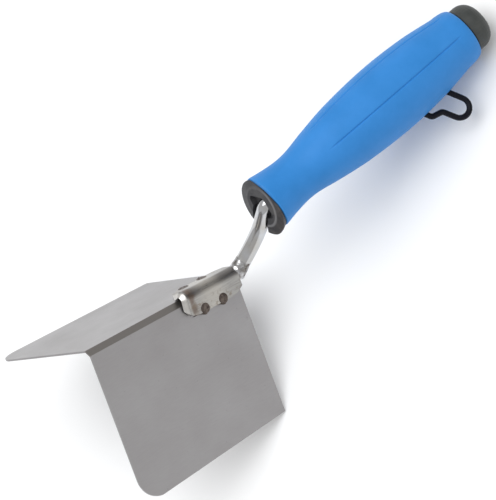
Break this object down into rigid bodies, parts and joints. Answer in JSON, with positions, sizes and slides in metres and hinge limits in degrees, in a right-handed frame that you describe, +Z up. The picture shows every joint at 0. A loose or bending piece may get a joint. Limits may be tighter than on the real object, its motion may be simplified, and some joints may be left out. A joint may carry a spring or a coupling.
{
  "type": "corner trowel",
  "caption": "Plasterer's corner trowel: V-folded steel blade, spot-welded saddle, bent round shank, soft-grip handle with a wire hanging hook.",
  "frame": {"origin": "on the surface the tool stands on, under the middle of its bounding box", "axes": "+Z up with the tool set down on its two rear blade corners and its butt; +X from the blade's front towards the butt; Y across the tool, the hanging hook on the -Y side"},
  "size_m": [0.2338, 0.094, 0.0871],
  "materials": {
    "blade_steel": "satin, fine grain",
    "saddle_steel": "ground satin",
    "chromed_steel": "bright plated",
    "weld_metal": "ground weld",
    "burnt_steel": "heat-stained",
    "core_plastic": "matte moulded",
    "cap_plastic": "matte moulded",
    "grip_rubber": "matte soft-touch",
    "hook_wire": "black coated"
  },
  "bodies": {
    "root": {"blade": "blade_steel", "saddle": "saddle_steel", "shank": "chromed_steel", "shank_weld": "weld_metal", "spot_weld_left_front": "burnt_steel", "spot_weld_left_rear": "burnt_steel", "spot_weld_right_front": "burnt_steel", "spot_weld_right_rear": "burnt_steel", "handle_core": "core_plastic", "grip_sleeve": "grip_rubber", "end_cap": "cap_plastic", "hanging_hook": "hook_wire"}
  },
  "joints": []
}
